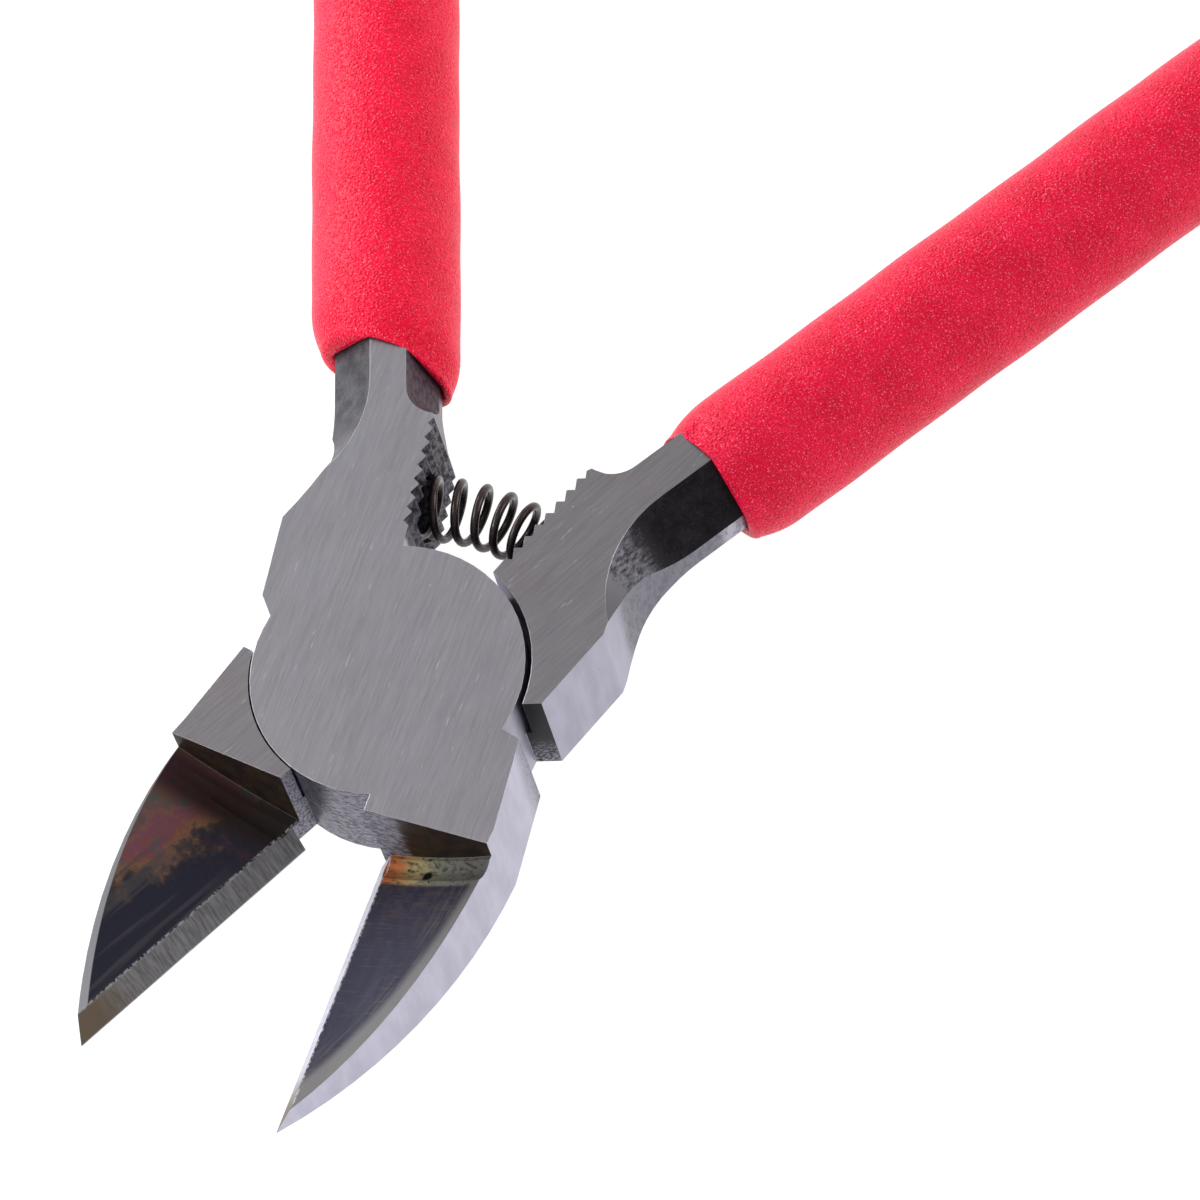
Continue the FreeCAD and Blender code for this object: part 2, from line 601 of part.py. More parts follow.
frontHalf = makeHalf("front_half", True)
backHalf = makeHalf("back_half", False)
rivet = makeRivet()
frontGrip = makeGrip("front_grip", True)
backGrip = makeGrip("back_grip", False)
spring = makeSpring()

opening = size("half_opening")
place(frontHalf, opening)
place(frontGrip, opening)
place(rivet, 0)
place(backHalf, -opening)
place(backGrip, -opening)
place(spring, size("skew"))

save([frontHalf, backHalf, rivet, spring, frontGrip, backGrip])
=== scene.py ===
import math

import bpy
import numpy as np
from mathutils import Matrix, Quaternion, Vector


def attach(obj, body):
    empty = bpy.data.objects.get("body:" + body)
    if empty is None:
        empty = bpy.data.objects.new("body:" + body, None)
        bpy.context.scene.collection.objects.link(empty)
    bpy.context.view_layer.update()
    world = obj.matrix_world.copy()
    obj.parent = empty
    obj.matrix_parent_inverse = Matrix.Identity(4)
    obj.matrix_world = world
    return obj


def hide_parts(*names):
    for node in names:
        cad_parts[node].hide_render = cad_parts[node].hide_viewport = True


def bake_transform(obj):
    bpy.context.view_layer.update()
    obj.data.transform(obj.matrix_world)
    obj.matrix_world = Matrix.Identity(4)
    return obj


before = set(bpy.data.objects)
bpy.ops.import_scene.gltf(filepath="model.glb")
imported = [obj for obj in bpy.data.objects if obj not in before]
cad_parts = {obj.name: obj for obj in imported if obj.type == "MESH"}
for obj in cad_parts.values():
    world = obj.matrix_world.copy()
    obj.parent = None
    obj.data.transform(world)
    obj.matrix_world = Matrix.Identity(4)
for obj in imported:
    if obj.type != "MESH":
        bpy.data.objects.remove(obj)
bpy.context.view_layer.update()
mm = 0.001
toMillimetres = (1000, 1000, 1000)
flattened = (1, 1, 0)
print("frame loaded:", ", ".join(sorted(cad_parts)))


# ---- node helpers: most return the socket that carries their result

def setInputs(tree, node, inputs):
    for name, given in inputs.items():
        if isinstance(given, bpy.types.NodeSocket):
            tree.links.new(given, node.inputs[name])
        else:
            node.inputs[name].default_value = given


def addNode(tree, kind, inputs=None, **settings):
    node = tree.nodes.new(kind)
    for name, setting in settings.items():
        setattr(node, name, setting)
    setInputs(tree, node, inputs or {})
    return node


def calc(tree, operation, *terms):
    return addNode(tree, "ShaderNodeMath", dict(enumerate(terms)), operation=operation).outputs[0]


# 0 below low, 1 above high, a smooth step between; low above high turns it round
def ramp(tree, value, low, high):
    return addNode(tree, "ShaderNodeMapRange", {"Value": value, "From Min": low, "From Max": high},
                   interpolation_type="SMOOTHSTEP").outputs["Result"]


# 0 before the place, 1 beyond it; a soft below zero turns it round
def border(tree, value, place, soft):
    return ramp(tree, value, place - soft, place + soft)


def times(tree, *terms):
    result = terms[0]
    for term in terms[1:]:
        result = calc(tree, "MULTIPLY", result, term)
    return result


def plus(tree, first, second):
    return calc(tree, "ADD", first, second)


def minus(tree, first, second):
    return calc(tree, "SUBTRACT", first, second)


def opposite(tree, mask):
    return minus(tree, 1.0, mask)


# length of a vector
def lengthOf(tree, vector):
    return addNode(tree, "ShaderNodeVectorMath", {0: vector}, operation="LENGTH").outputs["Value"]


# 1 where the value lies inside the band, with soft sides
def band(tree, value, low, high, soft):
    return times(tree, border(tree, value, low, soft), border(tree, value, high, -soft))


def mixColour(tree, mask, under, over, blend="MIX"):
    node = addNode(tree, "ShaderNodeMix", data_type="RGBA", blend_type=blend)
    setInputs(tree, node, {0: mask, 6: under, 7: over})
    return node.outputs[2]


def mixValue(tree, mask, under, over):
    node = addNode(tree, "ShaderNodeMix", data_type="FLOAT")
    setInputs(tree, node, {0: mask, 2: under, 3: over})
    return node.outputs[0]


def colourRamp(tree, value, stops):
    node = addNode(tree, "ShaderNodeValToRGB", {"Fac": value})
    elements = node.color_ramp.elements
    elements[0].position, elements[0].color = stops[0]
    elements[1].position, elements[1].color = stops[-1]
    for place, colour in stops[1:-1]:
        elements.new(place).color = colour
    return node.outputs["Color"]


def turned(tree, vector, degrees=0.0, scale=(1, 1, 1), shift=(0, 0, 0)):
    return addNode(tree, "ShaderNodeMapping", {"Vector": vector,
                                               "Rotation": (0, 0, math.radians(degrees)),
                                               "Scale": scale, "Location": shift}).outputs["Vector"]


def axes(tree, vector):
    return addNode(tree, "ShaderNodeSeparateXYZ", {"Vector": vector}).outputs[:3]


def noise(tree, vector, scale, detail, roughness):
    return addNode(tree, "ShaderNodeTexNoise", {"Vector": vector, "Scale": scale, "Detail": detail,
                                                "Roughness": roughness}).outputs["Fac"]


def grey(level):
    return (level, level, level, 1.0)


def rgb(red, green, blue):
    return (red, green, blue, 1.0)


# a shader node group with named sockets; build(tree, inputs) returns the outputs by name
def nodeGroup(name, inputs, outputs, build):
    group = bpy.data.node_groups.new(name, "ShaderNodeTree")
    for label, kind, default in inputs:
        socket = group.interface.new_socket(name=label, in_out="INPUT", socket_type=kind)
        if default is not None:
            socket.default_value = default
    for label, kind in outputs:
        group.interface.new_socket(name=label, in_out="OUTPUT", socket_type=kind)
    given = group.nodes.new("NodeGroupInput")
    results = build(group, given.outputs)
    out = group.nodes.new("NodeGroupOutput")
    for label, socket in results.items():
        group.links.new(socket, out.inputs[label])
    return group


def useGroup(tree, group, inputs):
    return addNode(tree, "ShaderNodeGroup", inputs, node_tree=group)


floatSocket, vectorSocket, colourSocket = "NodeSocketFloat", "NodeSocketVector", "NodeSocketColor"


# ---- shared effects

# fine lines along Y in millimetre coordinates: two stretched noises for the body of the
# grain, a third one cut high for single bright scratches
def buildGrain(tree, given):
    place = given["Vector"]
    fine = noise(tree, turned(tree, place, scale=(1, 0.06, 0.3)), given["Fineness"], 4.0, 0.65)
    broad = noise(tree, turned(tree, place, 0, (1, 0.15, 0.3), (7, 3, 0)), 1.1, 3.0, 0.6)
    tone = plus(tree, times(tree, fine, 0.65), times(tree, broad, 0.35))
    sharp = noise(tree, turned(tree, place, 0, (1, 0.11, 0.3), (2, 9, 0)), 6.5, 2.0, 0.5)
    zones = noise(tree, turned(tree, place, 0, (1, 0.6, 0.3), (5, 1, 0)), 0.8, 1.0, 0.5)
    scratches = times(tree, ramp(tree, sharp, 0.66, 0.74), ramp(tree, zones, 0.42, 0.62))
    return {"Tone": tone, "Scratches": scratches}


grainGroup = nodeGroup("groundGrain", [("Vector", vectorSocket, None), ("Fineness", floatSocket, 5.0)],
                       [("Tone", floatSocket), ("Scratches", floatSocket)], buildGrain)


# scattered round marks: cells whose own random colour is under Share, filled to Size
def buildSpecks(tree, given):
    cells = addNode(tree, "ShaderNodeTexVoronoi", {"Vector": given["Vector"], "Scale": given["Scale"]})
    chance, _, spread = axes(tree, cells.outputs["Color"])
    radius = times(tree, given["Size"], plus(tree, 0.4, spread))
    inside = minus(tree, radius, cells.outputs["Distance"])
    picked = calc(tree, "LESS_THAN", chance, given["Share"])
    return {"Mask": times(tree, ramp(tree, inside, 0.0, 0.05), picked)}


speckGroup = nodeGroup("specks", [("Vector", vectorSocket, None), ("Scale", floatSocket, 1.0),
                                  ("Share", floatSocket, 0.2), ("Size", floatSocket, 0.1)],
                       [("Mask", floatSocket)], buildSpecks)


# how far the surface turns within Reach of each point: 0 on a plane, 1 on a sharp edge
def buildEdge(tree, given):
    soft = addNode(tree, "ShaderNodeBevel", {"Radius": given["Reach"]}, samples=6).outputs["Normal"]
    true = addNode(tree, "ShaderNodeNewGeometry").outputs["Normal"]
    along = addNode(tree, "ShaderNodeVectorMath", {0: soft, 1: true},
                    operation="DOT_PRODUCT").outputs["Value"]
    return {"Mask": ramp(tree, along, 0.995, 0.86), "Normal": soft}


edgeGroup = nodeGroup("edgeTurn", [("Reach", floatSocket, 0.0001)],
                      [("Mask", floatSocket), ("Normal", vectorSocket)], buildEdge)


# black oxide: cloudy tone from two noises, and small chips where a third is high
def buildOxide(tree, given):
    cloud = noise(tree, given["Vector"], 0.9, 4.0, 0.6)
    fine = noise(tree, given["Vector"], 7.0, 3.0, 0.6)
    chips = ramp(tree, noise(tree, given["Vector"], 3.4, 5.0, 0.75), 0.58, 0.70)
    tone = plus(tree, times(tree, cloud, 0.6), times(tree, fine, 0.4))
    return {"Tone": tone, "Chips": chips}


oxideGroup = nodeGroup("oxide", [("Vector", vectorSocket, None)],
                       [("Tone", floatSocket), ("Chips", floatSocket)], buildOxide)


# colours that steel takes as it is heated, by Heat: brown, orange-brown, mauve, straw, the
# bands pushed about by noise, with patches gone on to blue-green
def buildTemper(tree, given):
    push = minus(tree, noise(tree, given["Vector"], 0.45, 3.0, 0.6), 0.5)
    fine = minus(tree, noise(tree, given["Vector"], 2.2, 3.0, 0.6), 0.5)
    heat = plus(tree, given["Heat"], plus(tree, times(tree, push, 0.8), times(tree, fine, 0.35)))
    colour = colourRamp(tree, heat, [
        (0.30, rgb(0.030, 0.026, 0.028)), (0.45, rgb(0.075, 0.050, 0.042)),
        (0.56, rgb(0.190, 0.098, 0.055)), (0.66, rgb(0.180, 0.066, 0.060)),
        (0.76, rgb(0.165, 0.062, 0.086)), (0.86, rgb(0.190, 0.085, 0.070)),
        (0.94, rgb(0.110, 0.080, 0.075)), (1.00, rgb(0.150, 0.078, 0.060))])
    patches = noise(tree, turned(tree, given["Vector"], shift=(11, 4, 0)), 0.55, 3.0, 0.55)
    patch = ramp(tree, patches, 0.56, 0.66)
    colour = mixColour(tree, times(tree, patch, ramp(tree, heat, 0.5, 0.6)), colour,
                       rgb(0.060, 0.095, 0.095))
    return {"Color": colour, "Heat": heat}


temperGroup = nodeGroup("temperColours", [("Vector", vectorSocket, None), ("Heat", floatSocket, 0.5)],
                        [("Color", colourSocket), ("Heat", floatSocket)], buildTemper)


# skin of dipped vinyl: pimples a quarter of a millimetre apart with fine grit between
# them; a fine noise's high spots carry painted glints and its low spots painted shade
# for the hollows; Swell is a slow change along the sleeve
def buildPeel(tree, given):
    cells = addNode(tree, "ShaderNodeTexVoronoi", {"Vector": given["Vector"],
                                                   "Scale": given["Fineness"]})
    grit = noise(tree, given["Vector"], 7.0, 2.0, 0.6)
    height = plus(tree, ramp(tree, cells.outputs["Distance"], 0.6, 0.0), times(tree, grit, 0.8))
    spots = noise(tree, given["Vector"], 8.5, 2.0, 0.7)
    return {"Height": height, "Swell": noise(tree, given["Vector"], 0.35, 2.0, 0.5),
            "GlintSpots": ramp(tree, spots, 0.58, 0.70), "ShadeSpots": ramp(tree, spots, 0.44, 0.32)}


peelGroup = nodeGroup("dippedSkin", [("Vector", vectorSocket, None), ("Fineness", floatSocket, 4.2)],
                      [("Height", floatSocket), ("Swell", floatSocket), ("GlintSpots", floatSocket),
                       ("ShadeSpots", floatSocket)], buildPeel)
print("shared effects built")


# ---- the two forged halves

# side is 1 for the handle on the right, -1 for the left; lengths in millimetres, in the
# frame of the closed half: the edge along Y at x = bite, the step at -step on the edge;
# bladeArc holds the back's radius, how far the tip reaches, and the full width and where it
# is; facet holds a width and its growth towards the tip; edgeReach is in metres
halfSizes = dict(thickness=8.0, bite=1.8, grainFineness=5.0, edgeReach=0.00006, rivetZone=4.4, skew=7.5,
                 flatDepth=0.03, lapDepth=0.3, bevelWidth=1.15, toothBand=(9.6, 19.2), toothDepth=2.15,
                 heelBand=(2.4, 4.3), heelFrom=8.3, fallFrom=8.5, landFrom=14.8, coreFrom=23.0,
                 rootRadius=10.7)
frontFinish = dict(
    side=-1, opening=14.2, step=9.9, tilt=1.3, groove=1.0, handleTurn=20.5,
    flatTone=0.375, wallTone=0.97, grooveBlur=0.15, rimBlur=0.8, arcLines=1.0,
    flatTint=(1.00, 0.965, 1.07), heat=(0.10, 0.012, -0.02), crossLines=1.0, ridgeLines=0.15,
    bladeArc=(34.3, 29.5, 8.9, 9.0), facet=(0.05, 0.050), facetTone=rgb(0.105, 0.100, 0.102),
    rootMarks=2.0, bevelTones=(rgb(0.42, 0.41, 0.52), rgb(0.60, 0.59, 0.70)),
    grooveStops=[(0.00, rgb(0.30, 0.050, 0.012)), (0.18, rgb(0.34, 0.110, 0.030)),
                 (0.34, rgb(0.30, 0.240, 0.110)), (0.55, rgb(0.15, 0.150, 0.120)),
                 (0.75, rgb(0.13, 0.125, 0.115)), (1.00, rgb(0.09, 0.080, 0.070))],
    pocketDark=rgb(0.014, 0.014, 0.031), pocketBrown=rgb(0.040, 0.026, 0.016), pit=(4.2, 1.25, 0.42),
    fallDark=rgb(0.030, 0.029, 0.034), fallPale=rgb(0.088, 0.086, 0.097))
backFinish = dict(
    side=1, opening=-14.2, step=9.6, tilt=19.9, groove=1.5, handleTurn=-5.5,
    flatTone=0.285, wallTone=0.80, grooveBlur=0.9, rimBlur=0.04, arcLines=0.0,
    flatTint=(1.02, 0.97, 1.05), heat=(0.02, 0.150, -0.030), crossLines=0.2, ridgeLines=1.0,
    bladeArc=(32.3, 30.0, 8.75, 11.6), facet=(0.0, 0.030), facetTone=rgb(0.34, 0.34, 0.36),
    rootMarks=0.0, bevelTones=(rgb(0.105, 0.100, 0.104), rgb(0.20, 0.195, 0.20)),
    grooveStops=[(0.00, rgb(0.020, 0.016, 0.018)), (0.30, rgb(0.024, 0.016, 0.014)),
                 (0.55, rgb(0.030, 0.014, 0.012)), (0.80, rgb(0.045, 0.018, 0.020)),
                 (0.95, rgb(0.060, 0.022, 0.028)), (1.00, rgb(0.050, 0.020, 0.024))],
    pocketDark=rgb(0.024, 0.024, 0.038), pocketBrown=rgb(0.050, 0.026, 0.020), pit=(0.0, 0.0, 0.0),
    fallDark=rgb(0.007, 0.006, 0.008), fallPale=rgb(0.020, 0.018, 0.022))


# centre of the blade's curved back: the circle of the given radius through the tip and the
# point of full width, on the side of the edge
def bladeCentre(half):
    radius, reach, width, widthAt = half["bladeArc"]
    tip = np.array([halfSizes["bite"], -reach])
    wide = np.array([halfSizes["bite"] - half["side"] * width, -widthAt])
    middle, chord = (tip + wide) / 2, wide - tip
    inward = np.array([chord[1], -chord[0]]) * half["side"] / np.linalg.norm(chord)
    return middle + inward * math.sqrt(radius ** 2 - (np.linalg.norm(chord) / 2) ** 2)


def halfMaterial(name, half):
    material = bpy.data.materials.new(name)
    material.use_nodes = True
    tree = material.node_tree
    tree.nodes.clear()
    where = addNode(tree, "ShaderNodeTexCoord")
    plan = turned(tree, where.outputs["Object"], -half["opening"], toMillimetres)
    facing = turned(tree, where.outputs["Normal"], -half["opening"])
    x, y, z = axes(tree, plan)
    facingX, facingY, facingZ = axes(tree, facing)
    level = calc(tree, "ABSOLUTE", facingZ)
    alongX, alongY, _ = axes(tree, turned(tree, plan, -half["handleTurn"]))
    closingX, closingY, _ = axes(tree, turned(tree, plan, -halfSizes["skew"]))
    mid = halfSizes["thickness"] / 2
    fromPivot = lengthOf(tree, turned(tree, plan, scale=flattened))

    # where each finish lies
    offMid = calc(tree, "ABSOLUTE", minus(tree, z, mid))
    flat = calc(tree, "GREATER_THAN", offMid, mid - halfSizes["flatDepth"])
    wall = ramp(tree, level, 0.32, 0.22)
    width = times(tree, minus(tree, x, halfSizes["bite"]), -half["side"])
    lean = math.tan(math.radians(half["tilt"]))
    stepLine = plus(tree, half["step"], times(tree, width, lean))
    past = minus(tree, times(tree, y, -1), stepLine)
    front = calc(tree, "GREATER_THAN", z, 0.1)
    blade = times(tree, ramp(tree, past, -0.15, -0.05), front)
    sunk = times(tree, blade, opposite(tree, flat), opposite(tree, wall))
    bevel = times(tree, blade, band(tree, level, 0.36, 0.54, 0.03),
                  border(tree, width, halfSizes["bevelWidth"], -0.1))
    fall = times(tree, border(tree, alongY, halfSizes["fallFrom"], 0.5), opposite(tree, flat),
                 opposite(tree, wall))
    stepWall = times(tree, wall, ramp(tree, facingY, -0.5, -0.75),
                     band(tree, past, -0.3, 2.2 * half["groove"], 0.2), ramp(tree, width, 0.0, 0.15))
    outward = times(tree, closingX, half["side"])
    teeth = times(tree, opposite(tree, flat), band(tree, closingY, *halfSizes["toothBand"], 0.2),
                  border(tree, outward, halfSizes["toothDepth"], -0.15))
    lap = times(tree, calc(tree, "LESS_THAN", offMid, halfSizes["lapDepth"]), ramp(tree, level, 0.8, 0.9),
                opposite(tree, blade))

    # ground flats
    grain = useGroup(tree, grainGroup, {"Vector": plan, "Fineness": halfSizes["grainFineness"]})
    tone = ramp(tree, grain.outputs["Tone"], 0.25, 0.75)
    pits = useGroup(tree, speckGroup, {"Vector": plan, "Scale": 0.42, "Share": 0.3,
                                       "Size": 0.05}).outputs["Mask"]
    nicks = useGroup(tree, speckGroup, {"Vector": turned(tree, plan, 20, shift=(3, 8, 0)),
                                        "Scale": 0.75, "Share": 0.16, "Size": 0.05}).outputs["Mask"]
    cloud = noise(tree, plan, 0.22, 3.0, 0.55)
    tint = half["flatTint"]
    bare = mixColour(tree, tone, rgb(*(half["flatTone"] * 0.76 * c for c in tint)),
                     rgb(*(half["flatTone"] * 1.18 * c for c in tint)))
    bare = mixColour(tree, times(tree, ramp(tree, cloud, 0.35, 0.7), 0.35), bare,
                     rgb(0.95, 0.90, 0.84), "MULTIPLY")
    bare = mixColour(tree, times(tree, grain.outputs["Scratches"], 0.40), bare, grey(0.80))
    bare = mixColour(tree, nicks, bare, grey(0.95))
    bare = mixColour(tree, pits, bare, grey(0.03))

    # side walls: paler, with a few pits; more of them where the handle's skin begins
    smear = noise(tree, turned(tree, plan, scale=(1, 1, 0.25)), 0.8, 3.0, 0.6)
    wallPits = useGroup(tree, speckGroup, {"Vector": turned(tree, plan, scale=(1, 1, 0.6)),
                                           "Scale": 1.3, "Share": 0.3, "Size": 0.06}).outputs["Mask"]
    pale = half["wallTone"]
    side = mixColour(tree, ramp(tree, smear, 0.3, 0.7), rgb(0.43 * pale, 0.415 * pale, 0.51 * pale),
                     rgb(0.51 * pale, 0.495 * pale, 0.595 * pale))
    side = mixColour(tree, wallPits, side, rgb(0.18, 0.17, 0.2))
    skinPatches = noise(tree, turned(tree, plan, scale=(1, 1, 0.5)), 2.4, 5.0, 0.75)
    skinMarks = ramp(tree, skinPatches, 0.44, 0.60)
    land = mixColour(tree, border(tree, alongY, halfSizes["coreFrom"], 0.5), rgb(0.19, 0.187, 0.225),
                     rgb(0.40, 0.39, 0.46))
    land = mixColour(tree, times(tree, skinMarks, 0.6), land, rgb(0.10, 0.097, 0.12))
    landStart = plus(tree, alongY, times(tree, smear, 1.5))
    side = mixColour(tree, border(tree, landStart, halfSizes["landFrom"], 0.6), side, land)

    # black oxide on the falls, thin and granular where they run out
    oxide = useGroup(tree, oxideGroup, {"Vector": plan})
    black = mixColour(tree, ramp(tree, oxide.outputs["Tone"], 0.35, 0.65), half["fallDark"],
                      half["fallPale"])
    ragged = plus(tree, alongY, times(tree, oxide.outputs["Tone"], 5.0))
    grit = ramp(tree, noise(tree, turned(tree, plan, 20, scale=(1, 0.4, 1)), 4.0, 4.0, 0.6), 0.30, 0.68)
    black = mixColour(tree, times(tree, ramp(tree, ragged, 21.5, 19.0), grit), black,
                      rgb(0.17, 0.165, 0.185))
    black = mixColour(tree, ramp(tree, ragged, 18.2, 17.4), black, rgb(0.145, 0.142, 0.155))
    inner = ramp(tree, times(tree, alongX, half["side"]), -0.6, -1.0)
    innerBlack = mixColour(tree, grit, rgb(0.045, 0.033, 0.042), rgb(0.110, 0.085, 0.100))
    black = mixColour(tree, inner, black, innerBlack)
    black = mixColour(tree, times(tree, oxide.outputs["Chips"], 0.12), black, rgb(0.20, 0.19, 0.22))

    # distance in from the blade's curved back
    centre = bladeCentre(half)
    fromCentre = lengthOf(tree, turned(tree, plan, 0, flattened, (-centre[0], -centre[1], 0)))
    rim = minus(tree, half["bladeArc"][0], fromCentre)

    # the pocket: heat colours, ridges along the edge, fine lines along the step and the back
    start, across, down = half["heat"]
    heat = plus(tree, start, plus(tree, times(tree, width, across), times(tree, past, down)))
    temper = useGroup(tree, temperGroup, {"Vector": plan, "Heat": heat})
    pocket = mixColour(tree, ramp(tree, temper.outputs["Heat"], 0.28, 0.56), half["pocketDark"],
                       temper.outputs["Color"])
    patches = noise(tree, plan, 1.3, 3.0, 0.6)
    brown = times(tree, ramp(tree, past, 9.0, 2.0), ramp(tree, patches, 0.40, 0.65))
    pocket = mixColour(tree, times(tree, brown, 0.8), pocket, half["pocketBrown"], "LIGHTEN")
    ridges = noise(tree, turned(tree, plan, scale=(1, 0.045, 0.1)), 1.7, 2.0, 0.5)
    ridgeMask = times(tree, ramp(tree, ridges, 0.50, 0.62), ramp(tree, past, 4.0, 9.0),
                      half["ridgeLines"])
    pocket = mixColour(tree, times(tree, ridgeMask, 0.75), pocket, rgb(0.060, 0.055, 0.062))
    alongStep = turned(tree, plan, -half["side"] * half["tilt"], scale=(0.05, 1, 0.1))
    crossing = noise(tree, alongStep, 7.0, 3.0, 0.6)
    lines = times(tree, ramp(tree, crossing, 0.56, 0.68), half["crossLines"])
    pocket = mixColour(tree, times(tree, lines, 0.5), pocket, rgb(0.050, 0.046, 0.046))
    stretched = times(tree, past, 0.05)
    rings = addNode(tree, "ShaderNodeCombineXYZ", {"X": rim, "Y": stretched}).outputs["Vector"]
    arcs = times(tree, ramp(tree, noise(tree, rings, 3.2, 3.0, 0.6), 0.48, 0.66),
                 ramp(tree, rim, 3.4, 0.8), half["arcLines"])
    pocket = mixColour(tree, times(tree, arcs, 0.5), pocket, rgb(0.080, 0.074, 0.068))
    dots = useGroup(tree, speckGroup, {"Vector": plan, "Scale": 2.2, "Share": 0.2,
                                       "Size": 0.10}).outputs["Mask"]
    pocket = mixColour(tree, dots, pocket, grey(0.012))

    # the groove at the step's foot, with its own heat band
    speckle = noise(tree, turned(tree, plan, scale=(0.35, 1, 1)), 3.0, 4.0, 0.7)
    place = plus(tree, calc(tree, "DIVIDE", width, 9.0), times(tree, minus(tree, speckle, 0.5), 0.45))
    grooveColour = mixColour(tree, ramp(tree, speckle, 0.45, 0.72),
                             colourRamp(tree, place, half["grooveStops"]), grey(0.02))
    sideways = calc(tree, "ABSOLUTE", facingX)
    inGroove = times(tree, band(tree, past, -0.1, 2.05 * half["groove"], half["grooveBlur"]),
                     opposite(tree, flat), ramp(tree, width, 0.15, 0.25),
                     ramp(tree, level, 0.04, 0.16), ramp(tree, sideways, 0.97, 0.93))
    pitX, pitY, pitRadius = half["pit"]
    offPit = addNode(tree, "ShaderNodeCombineXYZ", {"X": minus(tree, width, pitX),
                                                    "Y": minus(tree, past, pitY)}).outputs["Vector"]
    castPit = ramp(tree, lengthOf(tree, offPit), pitRadius + 0.01, pitRadius * 0.6)

    # the bevel, cross-ground, browned towards the tip, with a rough pale border
    crumbs = noise(tree, plan, 4.0, 3.0, 0.6)
    bevelLines = noise(tree, turned(tree, plan, scale=(0.12, 1, 0.12)), 5.0, 3.0, 0.65)
    bevelColour = mixColour(tree, ramp(tree, bevelLines, 0.3, 0.7), *half["bevelTones"])
    bevelColour = mixColour(tree, ramp(tree, past, 14.5, 18.5), bevelColour, rgb(0.125, 0.092, 0.065),
                            "DARKEN")
    burr = times(tree, sunk, band(tree, width, 0.93, 1.06, 0.05), ramp(tree, crumbs, 0.42, 0.6))

    # the narrow facet along the blade's back, wider towards the tip
    facetWidth = plus(tree, half["facet"][0], times(tree, past, half["facet"][1]))
    facet = times(tree, sunk, ramp(tree, minus(tree, rim, facetWidth), half["rimBlur"], -0.04))

    # dark marks on the blade's root, below the disc
    marks = ramp(tree, noise(tree, turned(tree, plan, 35, scale=(0.4, 1.2, 1.2)), 4.2, 5.0, 0.75),
                 0.44, 0.58)
    root = times(tree, wall, border(tree, fromPivot, halfSizes["rootRadius"], -0.5),
                 ramp(tree, y, -1.0, -3.0))
    rootColour = mixColour(tree, times(tree, marks, 0.85), rgb(0.23, 0.22, 0.275),
                           rgb(0.025, 0.023, 0.028))

    # the heel's face beside the other half's disc: blackened, its far end bare in patches
    _, closingFacing, _ = axes(tree, turned(tree, facing, -halfSizes["skew"]))
    heel = times(tree, wall, band(tree, closingY, *halfSizes["heelBand"], 0.1),
                 ramp(tree, closingFacing, -0.3, -0.5), border(tree, outward, halfSizes["heelFrom"], 0.1))
    heelColour = mixColour(tree, times(tree, marks, ramp(tree, z, 3.5, 0.5)), rgb(0.008, 0.007, 0.009),
                           rgb(0.24, 0.23, 0.28))

    colour = mixColour(tree, wall, bare, side)
    colour = mixColour(tree, heel, colour, heelColour)
    colour = mixColour(tree, fall, colour, black)
    toothMarks = noise(tree, turned(tree, plan, scale=(1, 1, 0.7)), 2.6, 4.0, 0.7)
    toothColour = mixColour(tree, ramp(tree, toothMarks, 0.42, 0.58), rgb(0.022, 0.020, 0.025),
                            rgb(0.17, 0.163, 0.19))
    colour = mixColour(tree, teeth, colour, toothColour)
    colour = mixColour(tree, root, colour, rootColour)
    colour = mixColour(tree, sunk, colour, pocket)
    colour = mixColour(tree, times(tree, inGroove, ramp(tree, rim, 0.02, 0.08)), colour, grooveColour)
    colour = mixColour(tree, times(tree, castPit, sunk), colour, grey(0.004))
    colour = mixColour(tree, facet, colour, half["facetTone"])
    colour = mixColour(tree, bevel, colour, bevelColour)
    colour = mixColour(tree, times(tree, burr, 0.7), colour, grey(0.40))
    # the step's wall: root marks near the edge, then a brown heat tint darkened into painted shade
    shadedBrownWall = mixColour(tree, ramp(tree, noise(tree, plan, 1.1, 3.0, 0.6), 0.4, 0.6),
                          rgb(0.016, 0.012, 0.012), rgb(0.034, 0.020, 0.013))
    shadedBrownStart = ramp(tree, plus(tree, width, times(tree, speckle, 1.6)), half["rootMarks"] + 0.8,
                      half["rootMarks"] + 1.6)
    stepColour = mixColour(tree, shadedBrownStart, rootColour, shadedBrownWall)
    colour = mixColour(tree, stepWall, colour, stepColour)
    colour = mixColour(tree, lap, colour, rgb(0.10, 0.095, 0.11))

    # rims brightened with worn metal and a painted highlight along the edges, except along the neck and
    # round the rivet's flush head
    neck = ramp(tree, alongY, 8.0, 10.0)
    offRivet = calc(tree, "GREATER_THAN", fromPivot, halfSizes["rivetZone"])
    reach = times(tree, halfSizes["edgeReach"], offRivet, minus(tree, 1.0, times(tree, neck, 0.8)))
    edge = useGroup(tree, edgeGroup, {"Reach": reach})
    colour = mixColour(tree, times(tree, edge.outputs["Mask"], opposite(tree, neck), 0.3), colour,
                       grey(0.60))

